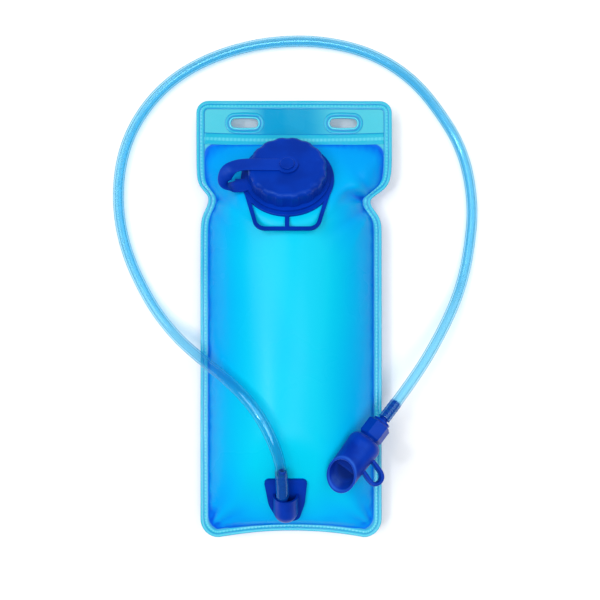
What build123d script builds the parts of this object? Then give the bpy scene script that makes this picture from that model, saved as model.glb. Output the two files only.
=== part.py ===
"""Hydration bladder: a two-film reservoir with a screw-cap filler, a drink tube and a bite valve.

Millimetres. It lies on its back: +X is its width, +Y points to the header, +Z away from the floor.
The origin is the middle of the reservoir's footprint, on the floor.
"""
import math
import os

from build123d import *

os.makedirs("parts", exist_ok=True)

# ---- driving dimensions: the reservoir
bag_length = 380.0
header_width = 170.0
body_width = 158.0
body_shift = -2.5          # the body's centre line, to the left of the header's
header_depth = 37.0        # top edge to the chamber
film = 0.5                 # one sheet
weld_band = 5.6            # side seam
bottom_band = 4.7
bottom_rise = 6.0          # the bottom edge is this much higher in the middle
weld_height = 20.0         # the seam's height over the floor
crown = 43.5               # the front film's rise over the seam
back_depth = 31.0          # the back film's fall, before the floor flattens it
header_corner = 10.5
bottom_corner = 16.0
bottom_round = 1.6         # what the corners' rounding takes off the length
notch_inset = 9.0          # the waist between header and body
notch_below_top = 86.0

# ---- hang slots in the header
slot_length = 23.7
slot_width = 8.2
slot_spacing = 86.2
slot_below_top = 19.3

# ---- filler
port_x = -5.4
port_tilt = 31.0
ring_radius = 39.5         # grip frame's ring
ring_thickness = 2.2
rim_round = 0.5
neck_bore = 25.0
neck_wall = 3.0
neck_height = 15.0         # over the film
collar_step = 1.7          # plain foot of the neck, proud of the thread's root
flange_radius = 36.0
flange_thickness = 1.8
thread_pitch = 4.0
thread_turns = 1.5
thread_depth = 1.6
thread_gap = 0.4           # radial, crest to wall
thread_start = 6.6
cap_radius = 33.0
cap_top = 18.0             # over the film
cap_roof = 2.1
cap_fillet = 4.4
scallops = 16
scallop_depth = 0.9
gap = 0.2                  # between pieces that turn on each other

# ---- tether
tether_radius = 36.0
tether_thickness = 1.8
strap_width = 12.0
strap_thickness = 1.6
strap_reach = 58.5         # the loop's tip, from the neck's axis
tab_drop = 9.0             # the tab's centre line, below the neck's centre
eye_radius = 9.0
button_radius = 6.0
button_shank = 3.4

# ---- grip loop, below the ring
grip_top_half = 34.0
grip_top_drop = 16.8
grip_low_half = 24.6
grip_low_drop = 52.0
grip_bar = 3.3
grip_strut = 3.6
grip_corner = 9.0

# ---- outlet
outlet_x = -6.9
outlet_tilt = 26.0
outlet_above_bottom = 35.5
plate_width = 36.8
plate_thickness = 2.5
plate_high = 23.8
plate_low = -19.5
hood_radius = 10.6
hood_wall = 1.6
hood_axis = 4.6            # over the film
hood_low = -16.5
hood_mouth = 10.0
elbow_bore = 2.4
elbow_leg = 4.4
barb_axis = 7.9            # over the film
barb_side = -2.6
socket_radius = 5.2

# ---- tube
tube_outer = 9.5
tube_inner = 6.35
barb_length = 27.0
barb_tooth = 0.55

# ---- bite valve
stem_radius = 3.9
stem_length = 21.6
tube_end = 18.5            # how far the tube is pushed over the stem's barb
spigot_radius = 5.0
collar_start = 23.4
collar_length = 16.4
collar_flats = 18.4
core_radius = 8.0
mouth_start = 41.0
mouth_end = 91.0
mouth_shoulder = 14.3
mouth_tip = 13.2
mouth_wall = 2.2
mouth_cut_top = 67.0
loop_start = 51.0
loop_end = 65.5
loop_reach = 28.5
loop_bar = 3.8
loop_width = 10.0

# ---- the valve's place: its barb's tip, and the way the valve points
valve_end = (87.4, -69.3, 42.5)
valve_heading = -129.9     # degrees from +X, seen from above
valve_climb = 15.5         # degrees over level

# ---- the tube's route between its two straight ends
tube_route = [
    (-15.0, -101.5, 72.0),
    (-30.0, -72.5, 73.0),
    (-53.5, -50.0, 59.0),
    (-79.5, -33.5, 37.0),
    (-105.0, -14.0, 17.5),
    (-128.5, 15.0, 7.5),
    (-149.5, 58.5, 5.2),
    (-157.5, 101.0, 5.0),
    (-154.0, 142.5, 5.0),
    (-140.5, 176.5, 5.0),
    (-116.0, 207.0, 5.0),
    (-82.5, 229.0, 5.0),
    (-39.5, 243.5, 5.0),
    (7.0, 248.0, 5.0),
    (45.5, 243.0, 5.0),
    (75.5, 232.5, 5.0),
    (102.5, 215.0, 5.0),
    (124.5, 191.0, 5.0),
    (150.0, 151.0, 5.0),
    (159.5, 103.0, 5.0),
    (155.5, 60.0, 5.5),
    (146.5, 24.0, 9.5),
    (128.5, -12.0, 20.5),
]
straight_end = 25.0

# ---- places that follow from them
top = bag_length / 2
chamber_top = top - header_depth
chamber_bottom = -top + bottom_rise + bottom_band
left_edge = body_shift - body_width / 2
right_edge = body_shift + body_width / 2
notch_y = top - notch_below_top
slot_y = top - slot_below_top
chamber_mid = (chamber_top + chamber_bottom) / 2
chamber_half = (chamber_top - chamber_bottom) / 2

port_sin = math.sin(math.radians(port_tilt))
port_cos = math.cos(math.radians(port_tilt))
port_y = chamber_top - 0.2 - ring_radius * port_cos
port_z = weld_height + film + 0.1 + ring_radius * port_sin
port = Plane(origin=(port_x, port_y, port_z), x_dir=(1, 0, 0), z_dir=(0, port_sin, port_cos))

outlet_sin = math.sin(math.radians(outlet_tilt))
outlet_cos = math.cos(math.radians(outlet_tilt))
outlet_y = -top + outlet_above_bottom
outlet_z = weld_height + 5.3 + (outlet_y - chamber_bottom) * math.tan(math.radians(outlet_tilt))
outlet = Plane(
    origin=(outlet_x, outlet_y, outlet_z), x_dir=(1, 0, 0), z_dir=(0, -outlet_sin, outlet_cos)
)

neck_radius = neck_bore + neck_wall
foot_radius = neck_radius + collar_step
tether_low = ring_thickness + gap
tether_high = tether_low + tether_thickness
skirt_low = tether_high + 2 * gap
thread_crest = neck_radius + thread_depth
cap_inner = thread_crest + thread_gap
cap_under = cap_top - cap_roof
eye_low = cap_top + 0.15
eye_high = eye_low + strap_thickness


# ---- the reservoir
def outline():
    """Plan of both sheets: header, waist and body, as a rounded polygon."""
    points = [
        (-header_width / 2, top),
        (header_width / 2, top),
        (header_width / 2, notch_y + 10),
        (right_edge - notch_inset, notch_y - 1),
        (right_edge, notch_y - 24),
        (right_edge, -top - bottom_round),
        (body_shift, -top + bottom_rise + 1.5),
        (left_edge, -top - bottom_round),
        (left_edge, notch_y - 20),
        (left_edge + notch_inset - 2, notch_y),
        (-header_width / 2, notch_y + 12),
    ]
    radii = [header_corner, header_corner, 11, 7, 30, bottom_corner, 300, bottom_corner, 30, 6, 11]
    with BuildSketch() as plan:
        with BuildLine():
            FilletPolyline(*points, radius=radii, close=True)
        make_face()
    return plan.sketch


def chamber_rows(inset):
    """Stations along the chamber: place along Y, left edge and right edge, all drawn in by inset."""
    left = left_edge + weld_band
    right = right_edge - weld_band
    wide = header_width / 2 - weld_band
    rows = [
        (chamber_bottom, left + 9, right - 9),
        (chamber_bottom + 6, left + 2, right - 2),
        (chamber_bottom + 24, left, right),
        (chamber_mid - 60, left, right),
        (chamber_mid, left, right),
        (chamber_mid + 50, left, right),
        (notch_y - 22, left, right),
        (notch_y, left + notch_inset - 3, right - notch_inset),
        (notch_y + 18, -wide, wide),
        (chamber_top - 6, -wide, wide),
        (chamber_top, -wide + 7, wide - 7),
    ]
    ends = (chamber_bottom + inset, chamber_top - inset)
    return [(min(max(y, ends[0]), ends[1]), lo + inset, hi - inset) for y, lo, hi in rows]


def pillow(height, inset):
    """Solid between the seam's plane and one film: circular-arc stations under a rounded crown line."""
    side = 1 if height > 0 else -1
    with BuildPart() as dome:
        for y, lo, hi in chamber_rows(inset):
            reach = min(abs(y - chamber_mid) / chamber_half, 0.985)
            rise = height * math.sqrt(1 - reach**5) - side * inset
            with BuildSketch(Plane(origin=(0, y, weld_height), x_dir=(1, 0, 0), z_dir=(0, -1, 0))):
                with BuildLine():
                    ThreePointArc((lo, 0), ((lo + hi) / 2, rise), (hi, 0))
                    Line((hi, 0), (lo, 0))
                make_face()
        loft(ruled=True)
    return dome.part


def front_pillow(inset):
    """The front pillow, flat where the filler and the outlet are welded to it."""
    with BuildPart() as dome:
        add(pillow(crown, inset))
        split(bisect_by=port.offset(-inset), keep=Keep.BOTTOM)
        split(bisect_by=outlet.offset(-inset), keep=Keep.BOTTOM)
    return dome.part


def back_pillow(inset):
    """The back pillow, flat on the floor."""
    with BuildPart() as dome:
        add(pillow(-back_depth, inset))
        split(bisect_by=Plane.XY.offset(inset), keep=Keep.TOP)
    return dome.part


def hang_slots(low):
    """Both slots through one sheet that starts at height low."""
    with BuildSketch(Plane.XY.offset(low)) as slots:
        with Locations((-slot_spacing / 2, slot_y), (slot_spacing / 2, slot_y)):
            SlotOverall(slot_length, slot_width)
    return slots.sketch


def make_front_film():
    with BuildPart() as sheet:
        with BuildSketch(Plane.XY.offset(weld_height)):
            add(outline())
        extrude(amount=film)
        add(front_pillow(0))
        add(front_pillow(film), mode=Mode.SUBTRACT)
        extrude(hang_slots(weld_height - 1), amount=film + 2, mode=Mode.SUBTRACT)
        with BuildSketch(port.offset(-film - 1)):
            Circle(foot_radius)
        extrude(amount=film + 2, mode=Mode.SUBTRACT)
        with BuildSketch(outlet.offset(-film - 1)):
            with Locations((barb_side, hood_low + 9)):
                Circle(socket_radius)
        extrude(amount=film + 2, mode=Mode.SUBTRACT)
    return sheet.part


def make_back_film():
    with BuildPart() as sheet:
        with BuildSketch(Plane.XY.offset(weld_height - film)):
            add(outline())
        extrude(amount=film)
        add(back_pillow(0))
        add(back_pillow(film), mode=Mode.SUBTRACT)
        extrude(hang_slots(weld_height - film - 1), amount=film + 2, mode=Mode.SUBTRACT)
    return sheet.part


# ---- filler
def thread_ridge(root, crest, start):
    """A helical ridge from root to crest radius; it narrows towards its crest."""
    outward = 1 if crest > root else -1
    embed = 0.4 * outward
    half_root = thread_pitch * 0.22
    half_crest = thread_pitch * 0.12
    height = thread_pitch * thread_turns
    base = port.offset(start)
    with BuildPart() as ridge:
        with BuildLine():
            path = Helix(thread_pitch, height, root, center=base.origin, direction=port.z_dir)
        out = (path @ 0 - base.origin).normalized()
        with BuildSketch(Plane(origin=path @ 0, x_dir=out, z_dir=path % 0)):
            with BuildLine():
                Polyline(
                    (-embed, -half_root),
                    (crest - root, -half_crest),
                    (crest - root, half_crest),
                    (-embed, half_root),
                    close=True,
                )
            make_face()
        sweep(path=path, is_frenet=True)
    return ridge.part


def make_filler_neck():
    with BuildPart() as neck:
        with BuildSketch(port.offset(-film - flange_thickness)):
            Circle(flange_radius)
        extrude(amount=flange_thickness)
        with BuildSketch(port.offset(-film)):
            Circle(foot_radius)
        extrude(amount=film + tether_high + gap)
        with BuildSketch(port):
            Circle(neck_radius)
        extrude(amount=neck_height)
        add(thread_ridge(neck_radius, thread_crest, thread_start))
        with BuildSketch(port.offset(-film - flange_thickness)):
            Circle(neck_bore)
        extrude(amount=neck_height + film + flange_thickness, mode=Mode.SUBTRACT)
    return neck.part


def make_grip_frame():
    """The ring has a rounded rim; the grip loop under it is thinner by that round."""
    with BuildPart() as frame:
        with BuildSketch(port):
            Circle(ring_radius)
        extrude(amount=ring_thickness)
        fillet(frame.edges().group_by(Axis(port.origin, port.z_dir))[-1], rim_round)
        with BuildSketch(port):
            with BuildLine():
                FilletPolyline(
                    (-grip_top_half, -grip_top_drop),
                    (-grip_low_half, -grip_low_drop),
                    (grip_low_half, -grip_low_drop),
                    (grip_top_half, -grip_top_drop),
                    radius=[grip_corner, grip_corner],
                )
                offset(amount=grip_bar / 2, kind=Kind.TANGENT)
            make_face()
            with Locations((0, -(ring_radius + grip_low_drop) / 2)):
                Rectangle(grip_strut, grip_low_drop - ring_radius + grip_bar)
        extrude(amount=ring_thickness - rim_round)
        with BuildSketch(port):
            Circle(foot_radius + 0.05)
        extrude(amount=ring_thickness, mode=Mode.SUBTRACT)
    return frame.part


def make_tether_ring():
    with BuildPart() as ring:
        with BuildSketch(port.offset(tether_low)):
            Circle(tether_radius)
            with Locations((-(tether_radius + 8) / 2 - 8, -tab_drop)):
                Rectangle(tether_radius - 8, strap_width)
            Circle(foot_radius + 0.3, mode=Mode.SUBTRACT)
        extrude(amount=tether_thickness)
    return ring.part


def make_tether_strap():
    """A flat strap bent in the slanting plane that holds its upper and its lower run."""
    low = tether_low + strap_thickness / 2 + 0.1
    high = eye_low + strap_thickness / 2
    rise = high - low
    slant = math.hypot(rise, tab_drop)
    up = port.y_dir * (tab_drop / slant) + port.z_dir * (rise / slant)
    origin = port.origin + port.z_dir * low - port.y_dir * tab_drop
    bend = slant / 2 - 0.6
    tab_end = tether_radius + 8
    with BuildPart() as strap:
        with BuildSketch(Plane(origin=origin, x_dir=port.x_dir, z_dir=port.x_dir.cross(up))):
            with BuildLine():
                FilletPolyline(
                    (-tab_end, 0),
                    (-strap_reach, 0),
                    (-strap_reach, slant),
                    (-eye_radius, slant),
                    radius=[bend, bend],
                )
                offset(amount=strap_thickness / 2, kind=Kind.TANGENT, side=Side.BOTH)
            make_face()
        extrude(amount=strap_width / 2, dir=port.y_dir, both=True)
        with BuildSketch(port.offset(eye_low - 1)):
            Circle(eye_radius)
        extrude(amount=strap_thickness + 2, mode=Mode.SUBTRACT)
        with BuildSketch(port.offset(tether_low - 1)):
            with Locations((-tab_end / 2, -tab_drop)):
                Rectangle(tab_end, 2 * strap_width)
        extrude(amount=tether_thickness + 2, mode=Mode.SUBTRACT)
    return strap.part


def make_tether_eye():
    with BuildPart() as eye:
        with BuildSketch(port.offset(eye_low)):
            Circle(eye_radius)
            Circle(button_shank + 0.3, mode=Mode.SUBTRACT)
        extrude(amount=strap_thickness)
    return eye.part


def make_cap_shell():
    with BuildPart() as cap:
        with BuildSketch(port.offset(skirt_low)):
            Circle(cap_radius)
            with PolarLocations(cap_radius + 11 - scallop_depth, scallops):
                Circle(11, mode=Mode.SUBTRACT)
        extrude(amount=cap_top - skirt_low)
        fillet(cap.faces().sort_by(Axis(port.origin, port.z_dir))[-1].edges(), cap_fillet)
        with BuildSketch(port.offset(skirt_low)):
            Circle(cap_inner)
        extrude(amount=cap_under - skirt_low, mode=Mode.SUBTRACT)
        add(thread_ridge(cap_inner, cap_inner - thread_depth, thread_start + thread_pitch / 2))
        with BuildSketch(port.offset(cap_under)):
            Circle(button_shank)
        extrude(amount=cap_roof, mode=Mode.SUBTRACT)
    return cap.part


def make_cap_button():
    with BuildPart() as button:
        with BuildSketch(port.offset(cap_under)):
            Circle(button_shank)
        extrude(amount=eye_high + gap - cap_under)
        with BuildSketch(port.offset(eye_high + gap)):
            Circle(button_radius)
        extrude(amount=1.3)
        fillet(button.edges().group_by(Axis(port.origin, port.z_dir))[-1], 0.6)
    return button.part


def make_cap_gasket():
    with BuildPart() as gasket:
        with BuildSketch(port.offset(neck_height + 0.05)):
            Circle(neck_radius + 0.2)
            Circle(neck_bore - 1, mode=Mode.SUBTRACT)
        extrude(amount=cap_under - neck_height - 0.1)
    return gasket.part


# ---- outlet
def hood_form(radius):
    """A round-nosed tunnel of the given radius, standing on the plate."""
    mouth = Plane(
        origin=outlet.origin + outlet.y_dir * hood_mouth + outlet.z_dir * hood_axis,
        x_dir=outlet.x_dir,
        z_dir=outlet.y_dir,
    )
    length = hood_mouth - hood_low - hood_radius
    with BuildPart() as form:
        with BuildSketch(mouth):
            Circle(radius)
        extrude(amount=-length)
        with Locations(mouth.offset(-length)):
            Sphere(radius)
        split(bisect_by=outlet.offset(plate_thickness), keep=Keep.TOP)
        split(bisect_by=mouth, keep=Keep.BOTTOM)
    return form.part


def make_outlet_port():
    half = plate_width / 2
    with BuildPart() as body:
        with BuildSketch(outlet):
            with BuildLine():
                FilletPolyline(
                    (-half, plate_high),
                    (half, plate_high),
                    (half - 2.2, -1),
                    (11, plate_low),
                    (-6.5, plate_low),
                    (-half + 3.8, -3),
                    radius=[4, 4, 30, 7, 7, 30],
                    close=True,
                )
            make_face()
        extrude(amount=plate_thickness)
        add(hood_form(hood_radius))
        add(hood_form(hood_radius - hood_wall), mode=Mode.SUBTRACT)
        with BuildSketch(outlet):
            with Locations((barb_side, hood_low + 9)):
                Circle(socket_radius)
        extrude(amount=plate_thickness + 1, mode=Mode.SUBTRACT)
    return body.part


def radial_plane(base):
    """The plane of a turned profile: x is the radius, y is the distance along the base's normal."""
    return Plane(origin=base.origin, x_dir=base.x_dir, z_dir=-base.y_dir)


def barb_teeth(core, start, end, count, tip):
    """Profile points of saw teeth from start to end; each rises steeply on the side away from the tip."""
    pitch = (end - start) / count
    points = []
    for number in range(count):
        low = start + number * pitch
        steep = (low + 0.15, low + 0.4)
        if tip > end:
            points += [(core, steep[0]), (core + barb_tooth, steep[1]), (core, low + pitch)]
        else:
            points += [(core, low), (core + barb_tooth, low + pitch - 0.4), (core, low + pitch - 0.15)]
    return points


barb = Plane(
    origin=outlet.origin + outlet.x_dir * barb_side + outlet.y_dir * (hood_mouth + 1)
    + outlet.z_dir * barb_axis,
    x_dir=outlet.x_dir,
    z_dir=outlet.y_dir,
)
barb_core = tube_inner / 2 - 0.1
socket_w = hood_low + 9
barb_back = hood_mouth + 1 - socket_w


def make_outlet_elbow():
    leg = outlet.origin + outlet.x_dir * barb_side + outlet.y_dir * socket_w
    leg_plane = Plane(origin=leg, x_dir=outlet.x_dir, z_dir=outlet.z_dir)
    with BuildPart() as elbow:
        with BuildSketch(leg_plane.offset(-film)):
            Circle(elbow_leg)
        extrude(amount=film + barb_axis)
        with Locations(leg_plane.offset(barb_axis)):
            Sphere(elbow_leg)
        with BuildSketch(radial_plane(barb)):
            with BuildLine():
                Polyline(
                    (0, -barb_back),
                    (barb_core + 0.6, -barb_back),
                    (barb_core + 0.6, -2.6),
                    (tube_outer / 2, -2.6),
                    (tube_outer / 2, -1.0),
                    (barb_core + 0.3, -1.0),
                    (barb_core + 0.3, 0),
                    *barb_teeth(barb_core, 6, barb_length - 1, 3, barb_length),
                    (barb_core - 0.6, barb_length),
                    (0, barb_length),
                    close=True,
                )
            make_face()
        revolve(axis=Axis(barb.origin, barb.z_dir))
        with BuildSketch(leg_plane.offset(-film)):
            Circle(elbow_bore)
        extrude(amount=film + barb_axis, mode=Mode.SUBTRACT)
        with BuildSketch(barb.offset(barb_length)):
            Circle(elbow_bore - 0.2)
        extrude(amount=-(barb_length + barb_back), mode=Mode.SUBTRACT)
        with BuildSketch(leg_plane.offset(plate_thickness / 2 - 0.8)):
            Circle(elbow_leg + 1)
            Circle(elbow_leg - 0.8, mode=Mode.SUBTRACT)
        extrude(amount=1.6, mode=Mode.SUBTRACT)
    return elbow.part


def make_outlet_o_ring():
    minor = (socket_radius - elbow_leg + 0.8) / 2 - 0.03
    with BuildPart() as ring:
        centre = outlet.origin + outlet.x_dir * barb_side + outlet.y_dir * socket_w
        with Locations(Plane(origin=centre, z_dir=outlet.z_dir).offset(plate_thickness / 2)):
            Torus(elbow_leg - 0.8 + minor + 0.01, minor)
    return ring.part


# ---- bite valve
heading = math.radians(valve_heading)
climb = math.radians(valve_climb)
valve = Plane(
    origin=valve_end,
    x_dir=(-math.sin(heading), math.cos(heading), 0),
    z_dir=(
        math.cos(climb) * math.cos(heading),
        math.cos(climb) * math.sin(heading),
        math.sin(climb),
    ),
)
collar_end = collar_start + collar_length
spigot_end = collar_end + 4.2
seal_places = (collar_start + 1.3, collar_end - 1.3)
port_places = (collar_start + 4.2, collar_end - 4.2)
seal_groove = 0.9
barb_tip = 0.5


def make_valve_stem():
    with BuildPart() as stem:
        with BuildSketch(radial_plane(valve)):
            with BuildLine():
                Polyline(
                    (0, barb_tip),
                    (barb_core - 0.6, barb_tip),
                    *barb_teeth(barb_core, barb_tip + 1, tube_end - 2, 4, barb_tip),
                    (barb_core, tube_end + 0.3),
                    (stem_radius, tube_end + 0.3),
                    (stem_radius, stem_length),
                    (spigot_radius + 2.4, stem_length),
                    (spigot_radius + 2.4, collar_start - 0.15),
                    (spigot_radius, collar_start - 0.15),
                    (spigot_radius, spigot_end),
                    (0, spigot_end),
                    close=True,
                )
            make_face()
        revolve(axis=Axis(valve.origin, valve.z_dir))
        for place in seal_places:
            with BuildSketch(valve.offset(place - 0.7)):
                Circle(spigot_radius + 1)
                Circle(spigot_radius - seal_groove, mode=Mode.SUBTRACT)
            extrude(amount=1.4, mode=Mode.SUBTRACT)
        with BuildSketch(valve.offset(barb_tip)):
            Circle(2.1)
        extrude(amount=port_places[0] + 1.8 - barb_tip, mode=Mode.SUBTRACT)
        with BuildSketch(valve.offset(spigot_end)):
            Circle(3.2)
        extrude(amount=-(spigot_end - port_places[1] + 1.8), mode=Mode.SUBTRACT)
        for place in port_places:
            side = Plane(origin=valve.origin + valve.z_dir * place, z_dir=valve.x_dir)
            with BuildSketch(side):
                Circle(1.5)
            extrude(amount=spigot_radius + 1, both=True, mode=Mode.SUBTRACT)
    return stem.part


def make_valve_o_rings():
    minor = seal_groove / 2
    with BuildPart() as rings:
        with Locations(*[valve.offset(place) for place in seal_places]):
            Torus(spigot_radius - minor, minor)
    return rings.part


def make_valve_collar():
    """Six-sided twist collar; two pockets in its bore join the stem's holes when it is open."""
    with BuildPart() as collar:
        with BuildSketch(valve.offset(collar_start)):
            RegularPolygon(collar_flats / 2, 6, major_radius=False)
        extrude(amount=collar_length)
        along = Axis(valve.origin, valve.z_dir)
        chamfer(collar.faces().sort_by(along)[-1].edges(), 1.8)
        chamfer(collar.faces().sort_by(along)[0].edges(), 1.8)
        with BuildSketch(valve.offset(collar_start)):
            Circle(spigot_radius + 0.05)
        extrude(amount=collar_length, mode=Mode.SUBTRACT)
        with BuildSketch(valve.offset(port_places[0] - 1.6)):
            Rectangle(2 * spigot_radius + 4, 3.4)
        extrude(amount=port_places[1] - port_places[0] + 3.2, mode=Mode.SUBTRACT)
    return collar.part


def make_valve_core():
    with BuildPart() as core:
        with BuildSketch(valve.offset(collar_end + 0.15)):
            Circle(core_radius + 1.4)
        extrude(amount=mouth_start - collar_end - 0.15)
        with BuildSketch(valve.offset(mouth_start)):
            Circle(core_radius)
        extrude(amount=core_radius * 2)
        with BuildSketch(valve.offset(collar_end + 0.15)):
            Circle(spigot_radius)
        extrude(amount=spigot_end - collar_end - 0.15, mode=Mode.SUBTRACT)
        with BuildSketch(valve.offset(spigot_end)):
            Circle(core_radius - 2)
        extrude(amount=mouth_start + 2 * core_radius - 3 - spigot_end, mode=Mode.SUBTRACT)
        with BuildSketch(valve.offset(mouth_start + 2 * core_radius - 3)):
            with PolarLocations(core_radius / 2, 4):
                Circle(1.6)
        extrude(amount=3, mode=Mode.SUBTRACT)
    return core.part


def mouth_form(wall):
    """The bite valve's turned outside, drawn in by wall."""
    with BuildPart() as form:
        with BuildSketch(radial_plane(valve)):
            with BuildLine():
                Line((0, mouth_start), (core_radius + 1.2, mouth_start))
                ThreePointArc(
                    (core_radius + 1.2, mouth_start),
                    (mouth_shoulder - wall - 1.5, mouth_start + 1.8),
                    (mouth_shoulder - wall, mouth_start + 6.5),
                )
                Line((mouth_shoulder - wall, mouth_start + 6.5), (mouth_tip - wall, mouth_end + 4))
                Line((mouth_tip - wall, mouth_end + 4), (0, mouth_end + 4))
                Line((0, mouth_end + 4), (0, mouth_start))
            make_face()
        revolve(axis=Axis(valve.origin, valve.z_dir))
    return form.part


def make_mouthpiece():
    """Silicone bite valve: an oblique mouth, a dish in it, and a slit through the dish."""
    run = mouth_end - mouth_cut_top
    cut_dir = valve.z_dir * (2 * mouth_tip) + valve.y_dir * run
    cut = Plane(
        origin=valve.origin + valve.z_dir * ((mouth_end + mouth_cut_top) / 2),
        x_dir=valve.x_dir,
        z_dir=cut_dir.normalized(),
    )
    bore_end = mouth_start + 2 * core_radius + 4
    with BuildPart() as dish:
        add(mouth_form(mouth_wall))
        split(bisect_by=cut.offset(-5.5), keep=Keep.TOP)
    with BuildPart() as mouth:
        add(mouth_form(0))
        split(bisect_by=cut, keep=Keep.BOTTOM)
        add(dish.part, mode=Mode.SUBTRACT)
        with BuildSketch(valve.offset(mouth_start)):
            Circle(core_radius)
        extrude(amount=2 * core_radius, mode=Mode.SUBTRACT)
        with BuildSketch(valve.offset(mouth_start + 2 * core_radius)):
            Circle(core_radius - 2)
        extrude(amount=bore_end - mouth_start - 2 * core_radius, mode=Mode.SUBTRACT)
        with BuildSketch(valve.offset(bore_end - 1)):
            Rectangle(2 * core_radius - 6, 0.5)
        extrude(amount=mouth_end - bore_end, mode=Mode.SUBTRACT)
    return mouth.part


def make_finger_loop():
    """A silicone band beside the bite valve; it leans towards the mouth."""
    lean = 3.5
    flat = Plane(origin=valve.origin, x_dir=valve.z_dir, z_dir=valve.y_dir)
    half = loop_bar / 2
    with BuildPart() as loop:
        with BuildSketch(flat):
            with BuildLine():
                FilletPolyline(
                    (loop_start + half, mouth_tip - 3),
                    (loop_start + half + lean, loop_reach - half),
                    (loop_end - half + lean, loop_reach - half),
                    (loop_end - half, mouth_tip - 3),
                    radius=[5.2, 5.2],
                )
                offset(amount=half, kind=Kind.TANGENT)
            make_face()
        extrude(amount=loop_width / 2, both=True)
        add(mouth_form(0), mode=Mode.SUBTRACT)
    return loop.part


# ---- the drink tube
def tube_points():
    first = barb.origin
    return [
        first,
        first + barb.z_dir * straight_end,
        *[Vector(*point) for point in tube_route],
        valve.origin - valve.z_dir * straight_end,
        valve.origin + valve.z_dir * tube_end,
    ]


def corner_radii(points):
    """At each corner, 0.45 of the shorter run, divided by the tangent of half the turn."""
    radii = []
    for before, here, after in zip(points, points[1:], points[2:]):
        arriving = here - before
        leaving = after - here
        half_turn = math.radians(arriving.get_angle(leaving)) / 2
        radii.append(0.45 * min(arriving.length, leaving.length) / math.tan(half_turn))
    return radii


def make_drink_tube():
    points = tube_points()
    radii = corner_radii(points)
    print("tube radii:", [round(radius) for radius in radii])
    print("tube runs:", [round((b - a).length) for a, b in zip(points, points[1:])])
    with BuildPart() as tube:
        with BuildLine():
            path = FilletPolyline(*points, radius=radii)
        with BuildSketch(Plane(origin=path @ 0, x_dir=barb.x_dir, z_dir=path % 0)):
            Circle(tube_outer / 2)
            Circle(tube_inner / 2, mode=Mode.SUBTRACT)
        sweep(path=path)
    section = math.pi * (tube_outer**2 - tube_inner**2) / 4
    print(f"tube length {path.length:.1f}, volume {tube.part.volume:.0f}, by section {section * path.length:.0f}")
    for end in (points[0], points[1], points[-2], points[-1]):
        print("tube end", [round(value, 2) for value in tuple(end)])
    return tube.part


# ---- every piece, in its own file
pieces = {
    "bag_front_film": make_front_film,
    "bag_back_film": make_back_film,
    "filler_neck": make_filler_neck,
    "grip_frame": make_grip_frame,
    "tether_ring": make_tether_ring,
    "tether_strap": make_tether_strap,
    "tether_eye": make_tether_eye,
    "cap_shell": make_cap_shell,
    "cap_button": make_cap_button,
    "cap_gasket": make_cap_gasket,
    "outlet_port": make_outlet_port,
    "outlet_elbow": make_outlet_elbow,
    "outlet_o_ring": make_outlet_o_ring,
    "drink_tube": make_drink_tube,
    "valve_stem": make_valve_stem,
    "valve_o_rings": make_valve_o_rings,
    "valve_collar": make_valve_collar,
    "valve_core": make_valve_core,
    "mouthpiece": make_mouthpiece,
    "finger_loop": make_finger_loop,
}

for name, make in pieces.items():
    piece = make()
    piece.label = name
    export_step(piece, f"parts/{name}.step")

print("port plane", port)
print("outlet plane", outlet)
print("valve plane", valve)
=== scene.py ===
"""The looks of a hydration bladder: a water-filled reservoir of blue film, its tethered screw cap,
its drink tube and its bite valve, laid on a pale table. Metres; +Y points to the header, +Z is up."""
import math

import bpy
import numpy as np
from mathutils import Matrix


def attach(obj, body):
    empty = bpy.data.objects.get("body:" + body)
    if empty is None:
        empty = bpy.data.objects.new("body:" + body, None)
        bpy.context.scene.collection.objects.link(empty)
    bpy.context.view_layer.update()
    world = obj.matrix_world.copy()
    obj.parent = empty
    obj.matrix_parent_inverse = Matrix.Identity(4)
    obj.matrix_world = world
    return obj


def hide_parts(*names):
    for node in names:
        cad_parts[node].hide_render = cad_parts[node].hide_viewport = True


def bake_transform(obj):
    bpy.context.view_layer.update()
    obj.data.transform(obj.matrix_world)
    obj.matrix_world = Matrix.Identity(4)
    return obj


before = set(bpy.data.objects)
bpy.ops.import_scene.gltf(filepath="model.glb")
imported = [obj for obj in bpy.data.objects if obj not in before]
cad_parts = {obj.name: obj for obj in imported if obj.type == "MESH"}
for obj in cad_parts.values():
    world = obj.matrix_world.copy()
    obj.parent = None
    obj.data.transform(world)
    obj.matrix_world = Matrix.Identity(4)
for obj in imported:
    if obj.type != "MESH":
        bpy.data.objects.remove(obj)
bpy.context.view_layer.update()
MM = 0.001

# ---------------------------------------------------------------------------------------------
# The studio: a pale table, a dim even sky, three broad soft lights and one small key light. The camera
# looks straight down on the seam's plane from 0.75 m, a little off the reservoir's middle.
seam_z = 20 * MM
look_x = 5.2 * MM
look_y = 16.6 * MM
camera_rise = 0.75
view_width = 0.523

camera_data = bpy.data.cameras.new("camera")
camera_data.sensor_width = 36
camera_data.lens = 36 * camera_rise / view_width
camera = bpy.data.objects.new("camera", camera_data)
camera.location = (look_x, look_y, seam_z + camera_rise)
bpy.context.scene.collection.objects.link(camera)
bpy.context.scene.camera = camera
bpy.context.scene.view_settings.view_transform = "Standard"


def broad_sun(name, heading, height, spread, strength):
    """A distant soft light from a compass heading and a height over the table, both in degrees."""
    data = bpy.data.lights.new(name, "SUN")
    data.angle = math.radians(spread)
    data.energy = strength
    lamp = bpy.data.objects.new(name, data)
    lamp.rotation_euler = (math.radians(90 - height), 0, math.radians(heading))
    bpy.context.scene.collection.objects.link(lamp)


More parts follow.
